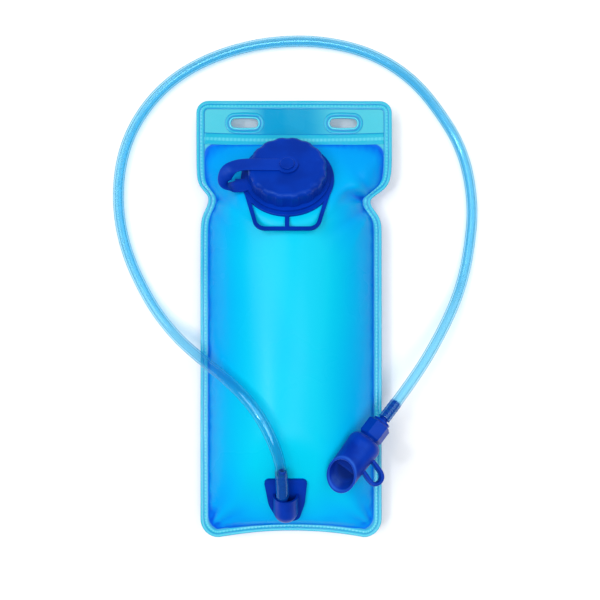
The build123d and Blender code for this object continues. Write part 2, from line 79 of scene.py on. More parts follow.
broad_sun("left_sun", 250, 60, 40, 1.45)
broad_sun("right_sun", 120, 58, 50, 0.85)
broad_sun("top_sun", 15, 74, 30, 0.95)
broad_sun("key_sun", 285, 62, 7, 0.35)

sky = bpy.data.worlds.new("sky")
sky.use_nodes = True
sky.node_tree.nodes["Background"].inputs["Color"].default_value = (0.93, 0.97, 1.0, 1)
sky.node_tree.nodes["Background"].inputs["Strength"].default_value = 0.22
bpy.context.scene.world = sky


class Wire:
    """A socket in a material's nodes. Arithmetic on wires adds Math nodes; add() makes any other node."""

    def __init__(self, tree, socket=None):
        self.tree = tree
        self.socket = socket

    def feed(self, socket, value):
        if isinstance(value, Wire):
            self.tree.links.new(value.socket, socket)
        else:
            socket.default_value = value

    def add(self, kind, settings=None, values=None, output=0):
        """Make a node: settings first, with a ramp's stops, then the values or wires of its sockets."""
        node = self.tree.nodes.new("ShaderNode" + kind)
        for key, setting in (settings or {}).items():
            if key == "stops":
                while len(node.color_ramp.elements) < len(setting):
                    node.color_ramp.elements.new(0.5)
                for element, (place, colour) in zip(node.color_ramp.elements, setting):
                    element.position = place
                    element.color = (*colour, 1) if isinstance(colour, tuple) else (colour,) * 3 + (1,)
            else:
                setattr(node, key, setting)
        for key, value in (values or {}).items():
            self.feed(node.inputs[key], value)
        return Wire(self.tree, node.outputs[output])

    def maths(self, operation, *values):
        return self.add("Math", {"operation": operation}, dict(enumerate(values)))

    def mix(self, share, one, other):
        """Blend of two colours."""
        return self.add("Mix", {"data_type": "RGBA"}, {0: share, 6: one, 7: other}, 2)

    def within(self, low, high):
        """0 below low, 1 above high, and a smooth step between."""
        steps = {"interpolation_type": "SMOOTHSTEP"}
        return self.add("MapRange", steps, {"Value": self, "From Min": low, "From Max": high})

    def __add__(self, other):
        return self.maths("ADD", self, other)

    def __sub__(self, other):
        return self.maths("SUBTRACT", self, other)

    def __mul__(self, other):
        return self.maths("MULTIPLY", self, other)

    def __rsub__(self, other):
        return self.maths("SUBTRACT", other, self)

    __radd__ = __add__
    __rmul__ = __mul__


def new_material(name):
    """An empty node material, its wire and its principled shader."""
    material = bpy.data.materials.new(name)
    material.use_nodes = True
    tree = material.node_tree
    return material, Wire(tree), tree.nodes["Principled BSDF"]


def finish_with(wire, shader, fixed, varying):
    """Set the shader's even values on its own sockets, and wire the ones that change."""
    for key, value in fixed.items():
        shader.inputs[key].default_value = value
    for key, value in varying.items():
        wire.feed(shader.inputs[key], value)


def here(wire, name=None):
    """Object coordinates, or a point attribute of the mesh."""
    if name:
        return wire.add("Attribute", {"attribute_name": name}, None, 2)
    return wire.add("TexCoord", None, None, 3)


def bump(wire, height, distance, strength=1.0):
    return wire.add("Bump", None, {"Height": height, "Distance": distance, "Strength": strength})


def table_top():
    """Plain pale laminate with a hardly visible grain."""
    material, wire, shader = new_material("pale_table")
    grain = wire.add("TexNoise", None, {"Vector": here(wire), "Scale": 60.0, "Detail": 4.0})
    tone = wire.mix(grain, (0.94, 0.945, 0.95, 1), (0.98, 0.985, 0.99, 1))
    finish_with(wire, shader, {"Roughness": 0.75}, {"Base Color": tone})
    return material


def piece_from(name, points, faces, material, smooth=True):
    """A mesh object from an array of points and one of quads."""
    mesh = bpy.data.meshes.new(name)
    mesh.from_pydata(points.tolist(), [], faces.tolist())
    mesh.polygons.foreach_set("use_smooth", np.full(len(mesh.polygons), smooth))
    mesh.materials.append(material)
    mesh.update()
    made = bpy.data.objects.new(name, mesh)
    bpy.context.scene.collection.objects.link(made)
    return made


def grid_faces(rows, columns, round_rows=False, round_columns=False):
    """Quads of a grid of points in row order; either direction may close on itself."""
    row = np.arange(rows if round_rows else rows - 1)[:, None]
    column = np.arange(columns if round_columns else columns - 1)[None, :]
    next_row = (row + 1) % rows
    next_column = (column + 1) % columns
    corners = [row * columns + column, row * columns + next_column]
    corners += [next_row * columns + next_column, next_row * columns + column]
    return np.stack([np.broadcast_to(c, (row.size, column.size)) for c in corners], -1).reshape(-1, 4)


table_points = np.array([[-3, -3, 0], [3, -3, 0], [3, 3, 0], [-3, 3, 0]], float)
table = piece_from("table", table_points, np.array([[0, 1, 2, 3]]), table_top(), smooth=False)

# ---------------------------------------------------------------------------------------------
# The drink tube: clear blue extruded tube, 9.5 mm outside and 6.35 mm inside. Each end is pushed
# over a barb; it rises over the reservoir's front, comes down to the table and loops round the top.
tube_outer = 4.75 * MM
tube_inner = 3.175 * MM
tube_route = [
    (-9.5, -148.08, 49.32),
    (-9.5, -125.61, 60.28),
    (-15.0, -101.5, 72.0),
    (-30.0, -72.5, 73.0),
    (-53.5, -50.0, 59.0),
    (-79.5, -33.5, 37.0),
    (-105.0, -14.0, 17.5),
    (-128.5, 15.0, 7.5),
    (-149.5, 58.5, 5.2),
    (-157.5, 101.0, 5.0),
    (-154.0, 142.5, 5.0),
    (-140.5, 176.5, 5.0),
    (-116.0, 207.0, 5.0),
    (-82.5, 229.0, 5.0),
    (-39.5, 243.5, 5.0),
    (7.0, 248.0, 5.0),
    (45.5, 243.0, 5.0),
    (75.5, 232.5, 5.0),
    (102.5, 215.0, 5.0),
    (124.5, 191.0, 5.0),
    (150.0, 151.0, 5.0),
    (159.5, 103.0, 5.0),
    (155.5, 60.0, 5.5),
    (146.5, 24.0, 9.5),
    (128.5, -12.0, 20.5),
    (102.85, -50.82, 35.82),
    (75.96, -82.98, 47.44),
]
outlet_barb_length = 27 * MM
valve_barb_length = 18 * MM
teeth_pitch = 3.9 * MM
tube_sides = 32


def smooth_route(points):
    """Points of the NURBS spline that has these control points."""
    curve = bpy.data.curves.new("route", "CURVE")
    curve.dimensions = "3D"
    spline = curve.splines.new("NURBS")
    spline.points.add(len(points) - 1)
    for knot, point in zip(spline.points, points):
        knot.co = (point[0] * MM, point[1] * MM, point[2] * MM, 1)
    spline.order_u = 3
    spline.use_endpoint_u = True
    spline.resolution_u = 24
    holder = bpy.data.objects.new("route", curve)
    line = bpy.data.meshes.new_from_object(holder)
    path = np.empty(len(line.vertices) * 3)
    line.vertices.foreach_get("co", path)
    bpy.data.objects.remove(holder)
    bpy.data.curves.remove(curve)
    bpy.data.meshes.remove(line)
    return path.reshape(-1, 3)


def along(path):
    """Distance from the path's start to each of its points."""
    return np.concatenate([[0], np.cumsum(np.linalg.norm(np.diff(path, axis=0), axis=1))])


def even_steps(path, step):
    """The same path in even steps of about the given length."""
    run = along(path)
    place = np.linspace(0, run[-1], int(run[-1] / step) + 1)
    return np.stack([np.interp(place, run, path[:, axis]) for axis in range(3)], 1), place


def unit(vectors):
    return vectors / np.linalg.norm(vectors, axis=-1, keepdims=True)


def smooth_step(value):
    value = np.clip(value, 0, 1)
    return value * value * (3 - 2 * value)


def store(made, name, values):
    layer = made.data.attributes.new(name, "FLOAT", "POINT")
    layer.data.foreach_set("value", np.ascontiguousarray(values, dtype=np.float32).ravel())


def clear_tube_finish():
    """Clear blue tube, a deeper blue where it is seen edge on. Over the barbs the thick wall works as a
    lens, and the dark barb and its teeth fill the tube's whole width."""
    material, wire, shader = new_material("clear_tube")
    cloud = wire.add("TexNoise", None, {"Vector": here(wire), "Scale": 90.0, "Detail": 3.0})
    edge = wire.add("LayerWeight", None, {"Blend": 0.5}, 1).within(0.38, 0.94)
    barb = here(wire, "over_barb")
    tint = wire.mix(cloud, (0.0, 0.31, 0.60, 1), (0.01, 0.44, 0.74, 1))
    tint = wire.mix(barb, tint, (0.0, 0.034, 0.42, 1))
    finish_with(
        wire, shader, {"Specular IOR Level": 0.3, "Specular Tint": (0.2, 0.7, 1.0, 1)},
        {"Base Color": tint, "Roughness": cloud * 0.08 + 0.10, "Coat Weight": barb * -0.2 + 0.22},
    )
    clear = wire.add("BsdfTransparent", None, {"Color": (0.72, 0.92, 0.985, 1)})
    wall = Wire(wire.tree, shader.outputs[0])
    share = edge * (0.82 - barb * 0.3) + 0.03 + barb * 0.6
    body = wire.add("MixShader", None, {0: share, 1: clear, 2: wall})
    gloss = wire.add("BsdfGlossy", None, {"Color": (0.6, 0.92, 1.0, 1), "Roughness": 0.09})
    sheen = wire.add("LayerWeight", None, {"Blend": 0.5}, 1).within(0.2, 0.9) * 0.03 + 0.04
    both = wire.add("MixShader", None, {0: sheen, 1: body, 2: gloss})
    wire.feed(wire.tree.nodes["Material Output"].inputs["Surface"], both)
    return material


tube_path, tube_place = even_steps(smooth_route(tube_route), 1.3 * MM)
tube_length = tube_place[-1]


def barb_teeth_wave(left):
    """The stem's four teeth push the soft wall out into faint rings."""
    ring = 0.5 + 0.5 * np.cos(left * 2 * np.pi / teeth_pitch)
    return ring * smooth_step((17.5 * MM - left) / (2 * MM))


def tube_mesh(path, place):
    """A closed wall round the path: the outer circle, the end ring and the bore, as one profile.
    The tube swells by 0.7 mm over the outlet's barb, and by 0.25 mm over the valve's, where the teeth
    add up to 0.3 mm more."""
    left = tube_length - place
    swell = 0.7 * MM * smooth_step((outlet_barb_length + 4 * MM - place) / (6 * MM))
    swell += 0.25 * MM * smooth_step((valve_barb_length + 3 * MM - left) / (4 * MM))
    swell += 0.3 * MM * barb_teeth_wave(left)
    forward = unit(np.gradient(path, axis=0))
    side = unit(np.cross(forward, [0, 0, 1.0]))
    over = np.cross(side, forward)
    turn = np.linspace(0, 2 * math.pi, tube_sides, endpoint=False)
    ring = side[:, None] * np.cos(turn)[None, :, None] + over[:, None] * np.sin(turn)[None, :, None]
    outer = path[:, None] + ring * (tube_outer + swell)[:, None, None]
    inner = path[:, None] + ring * (tube_inner + 0.55 * swell)[:, None, None]
    wall = np.concatenate([outer, inner[::-1]])
    faces = grid_faces(len(wall), tube_sides, round_rows=True, round_columns=True)
    return wall.reshape(-1, 3), faces


def barb_cover(place):
    """0.85 over the outlet's barb, 1 to 0.74 in waves over the valve's teeth, 0 on the free tube."""
    left = tube_length - place
    low = smooth_step((outlet_barb_length - 2 * MM - place) / (1.5 * MM))
    high = smooth_step((valve_barb_length + 0.6 * MM - left) / (1.5 * MM))
    teeth = 0.87 + 0.13 * np.cos(left * 2 * np.pi / teeth_pitch)
    return np.clip(0.85 * low + high * teeth, 0, 1)


tube_points, tube_faces = tube_mesh(tube_path, tube_place)
tube = piece_from("clear_drink_tube", tube_points, tube_faces, clear_tube_finish())
barb_shade = barb_cover(tube_place)
rings = np.concatenate([barb_shade, barb_shade[::-1]])
store(tube, "over_barb", np.repeat(rings, tube_sides))
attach(tube, "reservoir")
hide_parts("drink_tube")

# ---------------------------------------------------------------------------------------------
# The reservoir's two sheets: 0.5 mm film, laid on each other and welded by high frequency round the
# edge and across the header. Water domes the front one and the table flattens the back one.
film = 0.5
seam_height = 20.0
front_rise = 43.0
back_fall = 31.0
top_end = 190.0
header_round = 10.5
bottom_round = 16.0
port_spot = np.array([-5.4, 118.942, 40.944])
port_across = np.array([1.0, 0, 0])
port_up = np.array([0, 0.857167, -0.515038])
port_out = np.array([0, 0.515038, 0.857167])
outlet_spot = np.array([-6.9, -154.5, 37.3958])
outlet_up = np.array([0, 0.898794, 0.438371])
outlet_out = np.array([0, -0.438371, 0.898794])
chamber_top = 153.0
chamber_low = -184.0
slot_spots = [(-43.1, 170.7), (43.1, 170.7)]
slot_half = 23.7 / 2
slot_radius = 4.1


def logistic(value):
    return 1 / (1 + np.exp(-value))


def left_edge(y):
    """The left edge: body, a pinched waist above it, and the wider header."""
    pinch = np.exp(-(((y - 105) / np.where(y > 105, 9, 13)) ** 2))
    return -81.5 - 3.5 * logistic((y - 113) / 6) + 7.5 * pinch


def right_edge(y):
    pinch = np.exp(-(((y - 102.6) / np.where(y > 102.6, 8.2, 11.5)) ** 2))
    return 76.3 + 8.9 * logistic((y - 114) / 5) - 10.5 * pinch


def corner_cut(y):
    """How far the rounded corners draw the edge in at this height."""
    above = np.clip(y - (top_end - header_round), 0, header_round)
    below = np.clip(bottom_round - top_end - y, 0, bottom_round)
    cut = header_round - np.sqrt(header_round ** 2 - above ** 2)
    return cut + bottom_round - np.sqrt(bottom_round ** 2 - below ** 2)


def lift_bottom(x, y):
    """The bottom edge is drawn up 5.8 mm in its middle, where the water pulls the weld in."""
    return y + 5.8 * np.clip(1 - ((x + 2.5) / 64) ** 2, 0, 1) * smooth_step((-140 - y) / 45)


def chamber_span(y):
    """The chamber's left and right edges: just inside the weld, with rounded ends."""
    near_top = np.clip((y - (chamber_top - 11)) / 11, 0, 1)
    near_low = np.clip((chamber_low + 13 - y) / 13, 0, 1)
    draw = 11 * (1 - np.sqrt(1 - near_top ** 2)) + 13 * (1 - np.sqrt(1 - near_low ** 2))
    return left_edge(y) + 6.4 + draw, right_edge(y) - 6.6 - draw


def chamber_depth(x, y):
    """Distance inside the chamber's edge, negative in the header and the weld."""
    low, high = chamber_span(y)
    return np.minimum(np.minimum(x - low, high - x), np.minimum(chamber_top - y, y - chamber_low))


def sag(x, y):
    """Slow waves of the limp, welded parts, a fraction of a millimetre to one millimetre."""
    wave = 0.55 * np.sin(x / 17 + 0.9) * np.sin(y / 23 + 0.4) + 0.35 * np.sin(x / 31 - y / 19)
    return wave * smooth_step((np.abs(x + 5.4) - 20) / 30 + smooth_step((y - 160) / 14))


def soft_least(one, other, reach):
    """The smaller of two heights, rounded where they cross."""
    near = np.clip(reach - np.abs(one - other), 0, None) / reach
    return np.minimum(one, other) - near * near * reach / 4


def dome(x, y, rise):
    """A crowned arc over the chamber: each cross-section is a circular arc, and its height falls to
    nothing at the two ends as the root of 1 minus the fifth power of the distance from the middle."""
    low, high = chamber_span(y)
    reach = np.abs(y - (chamber_top + chamber_low) / 2) / ((chamber_top - chamber_low) / 2)
    tall = rise * np.sqrt(np.clip(1 - reach ** 5, 0, 1)) + 1e-6
    half = np.maximum((high - low) / 2, 1e-3)
    radius = (half * half + tall * tall) / (2 * tall)
    from_middle = np.minimum(np.abs(x - (low + high) / 2), half)
    return np.sqrt(radius ** 2 - from_middle ** 2) - (radius - tall)


def creases(x, y):
    """Folds that run out of the two waists like a fan, fine puckers along the weld, and the long
    dimples of a film that isn't quite full; all fade towards the filler and the outlet."""
    inside = np.clip(chamber_depth(x, y), 0, None)
    total = np.zeros_like(x)
    fans = [
        (71.0, 103.0, [(2.62, 2.0, 40, 0.09), (3.00, -2.4, 46, 0.08), (3.36, 2.2, 42, 0.09),
                       (3.80, -2.0, 44, 0.10), (2.24, -1.4, 34, 0.10), (4.24, 1.5, 44, 0.09)]),
        (-74.0, -181.0, [(0.80, 1.7, 44, 0.11), (1.16, -1.4, 46, 0.10), (0.46, -1.3, 48, 0.10)]),
        (69.0, -181.0, [(2.34, 1.7, 46, 0.11), (1.98, -1.4, 44, 0.10), (2.70, -1.3, 46, 0.10)]),
        (-76.0, 104.0, [(0.42, 1.2, 28, 0.12), (-0.02, -1.5, 30, 0.10), (-0.46, 1.3, 34, 0.11),
                        (-0.9, -1.2, 38, 0.11)]),
    ]
    for fan_x, fan_y, folds in fans:
        away = np.hypot(x - fan_x, y - fan_y)
        angle = np.arctan2(y - fan_y, x - fan_x)
        for heading, height, length, width in folds:
            off = (angle - heading + np.pi) % (2 * np.pi) - np.pi
            ridge = np.exp(-((off / (width + 1.2 / (away + 4))) ** 2))
            total += height * ridge * smooth_step(away / 9) * np.exp(-((away / length) ** 2))
    pucker = np.sin(y / 2.7 + 2 * np.sin(y / 13) + x / 28) * (0.6 + 0.4 * np.sin(y / 19 + x))
    total += 0.75 * pucker * np.exp(-inside / 9) * smooth_step(inside / 3)
    end_pucker = np.sin(x / 3.3 + 1.5 * np.sin(x / 14)) * (0.6 + 0.4 * np.sin(x / 15))
    total += 0.9 * end_pucker * np.exp(-(y - chamber_low) / 13) * smooth_step(inside / 3)
    tuck = y - chamber_low - 6.5 - 0.0022 * (x + 7) ** 2
    total -= 1.5 * np.exp(-((tuck / 3.2) ** 2)) * np.exp(-(((x + 7) / 44) ** 4))
    dimple = np.sin(x / 9.5 + 0.6 * np.sin(y / 37)) * np.sin(y / 71 + 0.8)
    total += 0.55 * dimple * smooth_step(inside / 20)
    total += 0.35 * np.sin(y / 29 + x / 47) * smooth_step(inside / 15)
    from_port = np.hypot(x - port_spot[0], y - port_spot[1])
    from_outlet = np.hypot(x - outlet_spot[0], y - outlet_spot[1])
    keep = smooth_step((from_port - 40) / 18) * smooth_step((from_outlet - 27) / 16)
    return total * keep * smooth_step(inside / 2.5)


def front_height(x, y):
    """The front sheet's outer face: the dome, pressed flat by the filler's and the outlet's plates."""
    port_plane = port_spot[2] - (y - port_spot[1]) * port_out[1] / port_out[2]
    lifted = lift_bottom(x, y)
    outlet_plane = outlet_spot[2] - (lifted - outlet_spot[1]) * outlet_out[1] / outlet_out[2]
    seam = seam_height + film + sag(x, y)
    body = seam_height + film + dome(x, y, front_rise) + creases(x, y)
    body = soft_least(soft_least(body, port_plane, 7), outlet_plane + 0.02, 8)
    ring = np.hypot(x - port_spot[0], (y - port_spot[1]) / port_out[2])
    flat_share = 1 - smooth_step((ring - 38.5) / 15)
    body = body + (port_plane - 0.05 - body) * flat_share
    plate = np.hypot((x - outlet_spot[0]) / 18.5, (lifted - outlet_spot[1] - 1.9) / 19.5)
    plate_share = 1 - smooth_step((plate - 1.0) / 0.5)
    body = body + (outlet_plane - 0.05 - body) * plate_share
    edge = chamber_depth(x, y)
    return np.where(edge > 0, seam + (body - seam) * smooth_step(edge / 3), seam)


def back_height(x, y):
    """The back sheet's outer face: a hanging dome that the table stops at its lowest."""
    seam = seam_height - film + sag(x, y)
    hang = seam_height - film - dome(x, y, back_fall)
    floor = 0.02
    near = np.clip(7 - np.abs(hang - floor), 0, None) / 7
    rest = np.maximum(hang, floor) + near * near * 7 / 4 * smooth_step((hang - floor + 7) / 7)
    edge = chamber_depth(x, y)
    return np.where(edge > 0, seam + (rest - seam) * smooth_step(edge / 3), seam)


def sheet_plan(across, stations):
    """Plan of a sheet on a grid: rows from the bottom end to the top end, columns from the left edge
    to the right one, with the rows crowded into the rounded corners."""
    y = stations[:, None] + np.zeros(across)[None, :]
    share = np.linspace(0, 1, across)[None, :]
    left = left_edge(y) + corner_cut(y)
    right = right_edge(y) - corner_cut(y)
    x = left + (right - left) * share
    return x, y


corner_turn = np.linspace(0, math.pi / 2, 9)
low_rows = -top_end + bottom_round * (1 - np.cos(corner_turn))
high_rows = (top_end - header_round * (1 - np.cos(corner_turn)))[::-1]
mid_rows = np.linspace(low_rows[-1], high_rows[0], 270)[1:-1]
stations = np.concatenate([low_rows, mid_rows, high_rows])
plan_x, plan_y = sheet_plan(124, stations)


def glow(x, y):
    """How much light comes up through the water, painted into the film's colour: none at the weld, all of
    it over the deep middle. The creases add painted shade in their valleys and painted light on their
    ridges, and a wavy band of painted shade runs along the chamber's edge beside the weld.
    """
    low, high = chamber_span(y)
    side = np.clip(np.minimum(x - low, high - x) / 52, 0, 1) ** 0.55
    ends = np.clip((chamber_top - y) / 100, 0, 1) ** 0.5 * np.clip((y - chamber_low) / 60, 0, 1) ** 0.4
    drift = 0.10 * np.sin(x / 27 + 1.2 * np.sin(y / 50)) * np.sin(y / 43 + 0.7)
    # Painted shade in the creases' valleys and painted light on their ridges.
    crease_shade = np.clip(0.08 * creases(x, y), -0.22, 0.16)
    inside = chamber_depth(x, y)
    # A wavy band of painted shade along the chamber's edge, beside the weld.
    band = 3.4 + 1.5 * np.sin(y / 9 + 2 * np.sin(y / 31)) * np.sin(x / 13 + 1)
    seam_shade = 1 - 0.62 * np.exp(-((inside / band) ** 2))
    return np.clip((side * ends * (1 + drift) + crease_shade) * seam_shade, 0, 1)


def header_light_and_shade(x):
    """Painted light and shade on the header: palest beside its slots and deepest in its middle, behind the
    cap.
    """
    return 0.12 + 0.88 * smooth_step((np.abs(x + 3) - 12) / 34) - 0.35 * np.exp(-(((x + 20) / 9) ** 2))


def film_finish(name, deepest, lightest, through):
    """Blue film coloured with painted light and shade: deep blue at the weld, cyan over the deep water,
    and in the header painted pale beside the slots and darker in its middle; it is clearer in the header.
    """
    material, wire, shader = new_material(name)
    cloud = wire.add("TexNoise", None, {"Vector": here(wire), "Scale": 14.0, "Detail": 3.0})
    fine = wire.add("TexNoise", None, {"Vector": here(wire), "Scale": 420.0, "Detail": 4.0})
    # The water's colour follows the painted light of the glow attribute.
    light = here(wire, "glow") + (cloud - 0.5) * 0.14
    stops = [(0.0, deepest), (0.07, (0.0, 0.20, 0.80)), (0.16, (0.0, 0.31, 0.83)),
             (0.5, (0.0, 0.42, 0.84)), (0.8, (0.0, 0.52, 0.80)), (1.0, lightest)]
    water = wire.add("ValToRGB", {"stops": stops}, {"Fac": light})
    # Painted light beside the header's slots and painted shade in its middle.
    haze = here(wire, "haze") + (cloud - 0.5) * 0.5
    header = wire.mix(haze, (0.0, 0.40, 0.72, 1), (0.10, 0.68, 0.82, 1))
    inside = here(wire, "depth").within(-1.5, 1.0)
    tone = wire.mix(inside, header, water)
    clear = inside * (1 - through) + through
    finish_with(
        wire, shader, {"IOR": 1.2, "Specular IOR Level": 0.4},
        {
            "Base Color": tone,
            "Roughness": cloud * 0.16 + 0.20,
            "Alpha": clear,
            "Normal": bump(wire, fine, 0.00012, 0.5),
        },
    )
    return material


def make_sheet(name, height, material, outward):
    """One sheet: the grid's plan with its height, slots left open, and 0.5 mm of film inside it."""
    z = height(plan_x, plan_y)
    y = lift_bottom(plan_x, plan_y)
    points = np.stack([plan_x, y, z], -1).reshape(-1, 3) * MM
    faces = grid_faces(*plan_x.shape)
    if not outward:
        faces = faces[:, ::-1]
    centre = points[faces].mean(axis=1) / MM
    cut = np.zeros(len(faces), bool)
    for slot_x, slot_y in slot_spots:
        along_x = np.clip(np.abs(centre[:, 0] - slot_x) - (slot_half - slot_radius), 0, None)
        cut |= np.hypot(along_x, centre[:, 1] - slot_y) < slot_radius + 1.0
    made = piece_from(name, points, faces[~cut], material)
    store(made, "glow", glow(plan_x, plan_y))
    store(made, "depth", chamber_depth(plan_x, plan_y))
    store(made, "haze", header_light_and_shade(plan_x))
    wall = made.modifiers.new("film", "SOLIDIFY")
    wall.thickness = film * MM
    wall.offset = -1
    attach(made, "reservoir")
    return made


front = make_sheet("front_film_skin", front_height,
                   film_finish("front_film", (0.0, 0.09, 0.66), (0.0, 0.575, 0.80), 0.62), True)
back = make_sheet("back_film_skin", back_height,
                  film_finish("back_film", (0.0, 0.09, 0.64), (0.0, 0.53, 0.79), 0.62), False)
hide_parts("bag_front_film")
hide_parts("bag_back_film")

# ---------------------------------------------------------------------------------------------
# The welds: the electrode leaves a flat rim, a groove, and a row of short raised beads along the
# whole edge, a straight band under the header, and an oval rim that holds each hang slot.
divider_low = 152.4
divider_high = 162.4


def closed_line(points, step):
    """A closed line in even steps."""
    loop = np.concatenate([points, points[:1]])
    run = along(loop)
    count = int(run[-1] / step)
    place = np.linspace(0, run[-1], count, endpoint=False)
    return np.stack([np.interp(place, run, loop[:, axis]) for axis in range(2)], 1), place


def outline_points():
    """Plan of the edge, anticlockwise from the bottom left corner."""
    y = stations
    left = np.stack([left_edge(y) + corner_cut(y), y], 1)
    right = np.stack([right_edge(y) - corner_cut(y), y], 1)
    x_low = np.linspace(left[0, 0], right[0, 0], 120)[1:-1]
    x_high = np.linspace(right[-1, 0], left[-1, 0], 120)[1:-1]
    low = np.stack([x_low, np.full_like(x_low, y[0])], 1)
    high = np.stack([x_high, np.full_like(x_high, y[-1])], 1)
    loop = np.concatenate([right, high, left[::-1], low])
    loop[:, 1] = lift_bottom(loop[:, 0], loop[:, 1])
    return loop


def inward(line, closed=True):
    """The unit normal to the left of a plan line."""
    if closed:
        step = np.roll(line, -1, axis=0) - np.roll(line, 1, axis=0)
    else:
        step = np.gradient(line, axis=0)
    step = unit(step)
    return np.stack([-step[:, 1], step[:, 0]], 1)


def rim_relief(off, run):
    """Height of the rim over the film at a distance from its outer edge: a rounded outer strip, a fine
    stitched groove at 2.9 mm, an inner strip, and a groove beside the chamber."""
    stitch = 0.5 + 0.5 * np.cos(run * 2 * np.pi / 3.1)
    strip = 0.20 * smooth_step(off / 0.5) * (1 - smooth_step((off - 2.0) / 0.6))
    row = (0.15 + 0.13 * stitch) * smooth_step((off - 3.1) / 0.7) * (1 - smooth_step((off - 4.6) / 0.9))
    inner = 0.13 * smooth_step((off - 4.4) / 0.7) * (1 - smooth_step((off - 5.8) / 0.7))
    return 0.10 + strip + row + inner


def rim_finish(name, pale, bead_highlight):
    """Welded film, paler than the rest. Its colour follows the relief as painted light: a whitish painted
    highlight on each bead and painted shade in the grooves.
    """
    material, wire, shader = new_material(name)
    cloud = wire.add("TexNoise", None, {"Vector": here(wire), "Scale": 30.0, "Detail": 3.0})
    raised = here(wire, "raised")
    stops = [(0.0, (0.0, 0.27, 0.62)), (0.18, (0.0, 0.40, 0.66)), (0.45, pale), (1.0, bead_highlight)]
    # Low relief is painted dark as shade and high relief pale, up to the painted highlight on the bead
    # row.
    tone = wire.add("ValToRGB", {"stops": stops}, {"Fac": raised + (cloud - 0.5) * 0.25})
    finish_with(
        wire, shader,
        {"Coat Weight": 0.12, "Coat Roughness": 0.08, "Alpha": 0.9, "Specular IOR Level": 0.35},
        {"Base Color": tone, "Roughness": cloud * 0.15 + 0.15},
    )
    return material


# The last colour is the whitish painted highlight of the bead row.
weld_finish = rim_finish("welded_film", (0.0, 0.47, 0.68), (0.12, 0.70, 0.82))


def make_rim(name, line, run, offs, closed, relief, height_at):
    """A closed profile carried along a plan line: its front face with the relief, the outer edge, and
    the same relief on the back."""
    normal = inward(line, closed)
    spread = line[:, None, :] + normal[:, None, :] * offs[None, :, None]
    rise = relief(np.broadcast_to(offs[None], spread.shape[:2]), run[:, None] + 0 * offs[None])
    middle = height_at(spread[..., 0], spread[..., 1])
    front_face = np.concatenate([spread, (middle + film + rise)[..., None]], -1)
    back_face = np.concatenate([spread, (middle - film - rise)[..., None]], -1)
    ring = np.concatenate([front_face, back_face[:, ::-1]], 1)
    raised = np.concatenate([rise, rise[:, ::-1]], 1)
    rows, count = ring.shape[:2]
    faces = grid_faces(rows, count, round_rows=closed, round_columns=True)
    if not closed:
        ends = [list(range(count))[::-1], list(range((rows - 1) * count, rows * count))]
        faces = np.array(faces.tolist() + ends, dtype=object)
    return piece_from(name, ring.reshape(-1, 3) * MM, faces, weld_finish), raised


def seam_middle(x, y):
    return seam_height + sag(x, y)


edge_line, edge_run = closed_line(outline_points(), 1.0)
edge_offs = np.array([0.0, 0.15, 0.4, 0.8, 1.3, 1.8, 2.2, 2.6, 2.9, 3.2, 3.6, 4.0, 4.5, 5.0, 5.5,
                      5.9, 6.3, 6.7, 7.2])
edge_rim, edge_raised = make_rim("edge_weld", edge_line, edge_run, edge_offs, True, rim_relief,
                                 seam_middle)
store(edge_rim, "raised", (edge_raised - 0.10) / 0.34)


def divider_relief(off, run):
    """The band under the header: a groove along its upper side, then a bead row."""
    bead = 0.5 + 0.5 * np.cos(run * 2 * np.pi / 3.4)
    lip = 0.14 * smooth_step((off - 0.7) / 0.6)
    row = (0.05 + 0.09 * bead) * smooth_step((off - 3.4) / 1.0) * smooth_step((7.0 - off) / 1.2)
    return 0.06 + lip + row


divider_x = np.arange(-78.0, 78.01, 1.0)
divider_drop = 2.4 * (1 - (divider_x / 78) ** 2)
divider_line = np.stack([divider_x, divider_high - divider_drop * 0.6], 1)[::-1]
divider_offs = np.linspace(0, divider_high - divider_low, 19)
divider, divider_raised = make_rim("header_weld", divider_line, along(divider_line), divider_offs,
                                   False, divider_relief, seam_middle)
store(divider, "raised", (divider_raised - 0.06) / 0.32)


def slot_relief(off, run):
    """The oval rim: rounded at the slot, raised at its middle, with a groove at its outside."""
    return 0.10 + 0.34 * smooth_step(off / 0.5) * (1 - smooth_step((off - 1.1) / 0.8)) \
        + 0.16 * smooth_step((off - 3.0) / 0.6) * (1 - smooth_step((off - 4.2) / 0.7))


slot_rims = []
for side, (slot_x, slot_y) in zip(("left", "right"), slot_spots):
    turn = np.linspace(0, 2 * np.pi, 96, endpoint=False)
    straight = slot_half - slot_radius
    oval = np.stack([slot_x + straight * np.clip(2.2 * np.cos(turn), -1, 1)
                     + slot_radius * np.cos(turn), slot_y + slot_radius * np.sin(turn)], 1)[::-1]
    oval_line, oval_run = closed_line(oval, 0.8)
    rim, raised = make_rim(side + "_slot_weld", oval_line, oval_run, np.linspace(0, 5.2, 18), True,
                           slot_relief, seam_middle)
    store(rim, "raised", (raised - 0.10) / 0.34)
    slot_rims.append(rim)

for weld in (edge_rim, divider, *slot_rims):
    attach(weld, "reservoir")

# ---------------------------------------------------------------------------------------------
# Moulded parts: filler neck, screw cap, rings, outlet, valve stem and collar. Royal blue
# polypropylene and softer polyethylene, with the fine grain of a spark-eroded mould.
blue_gloss = (0.25, 0.6, 1.0, 1)


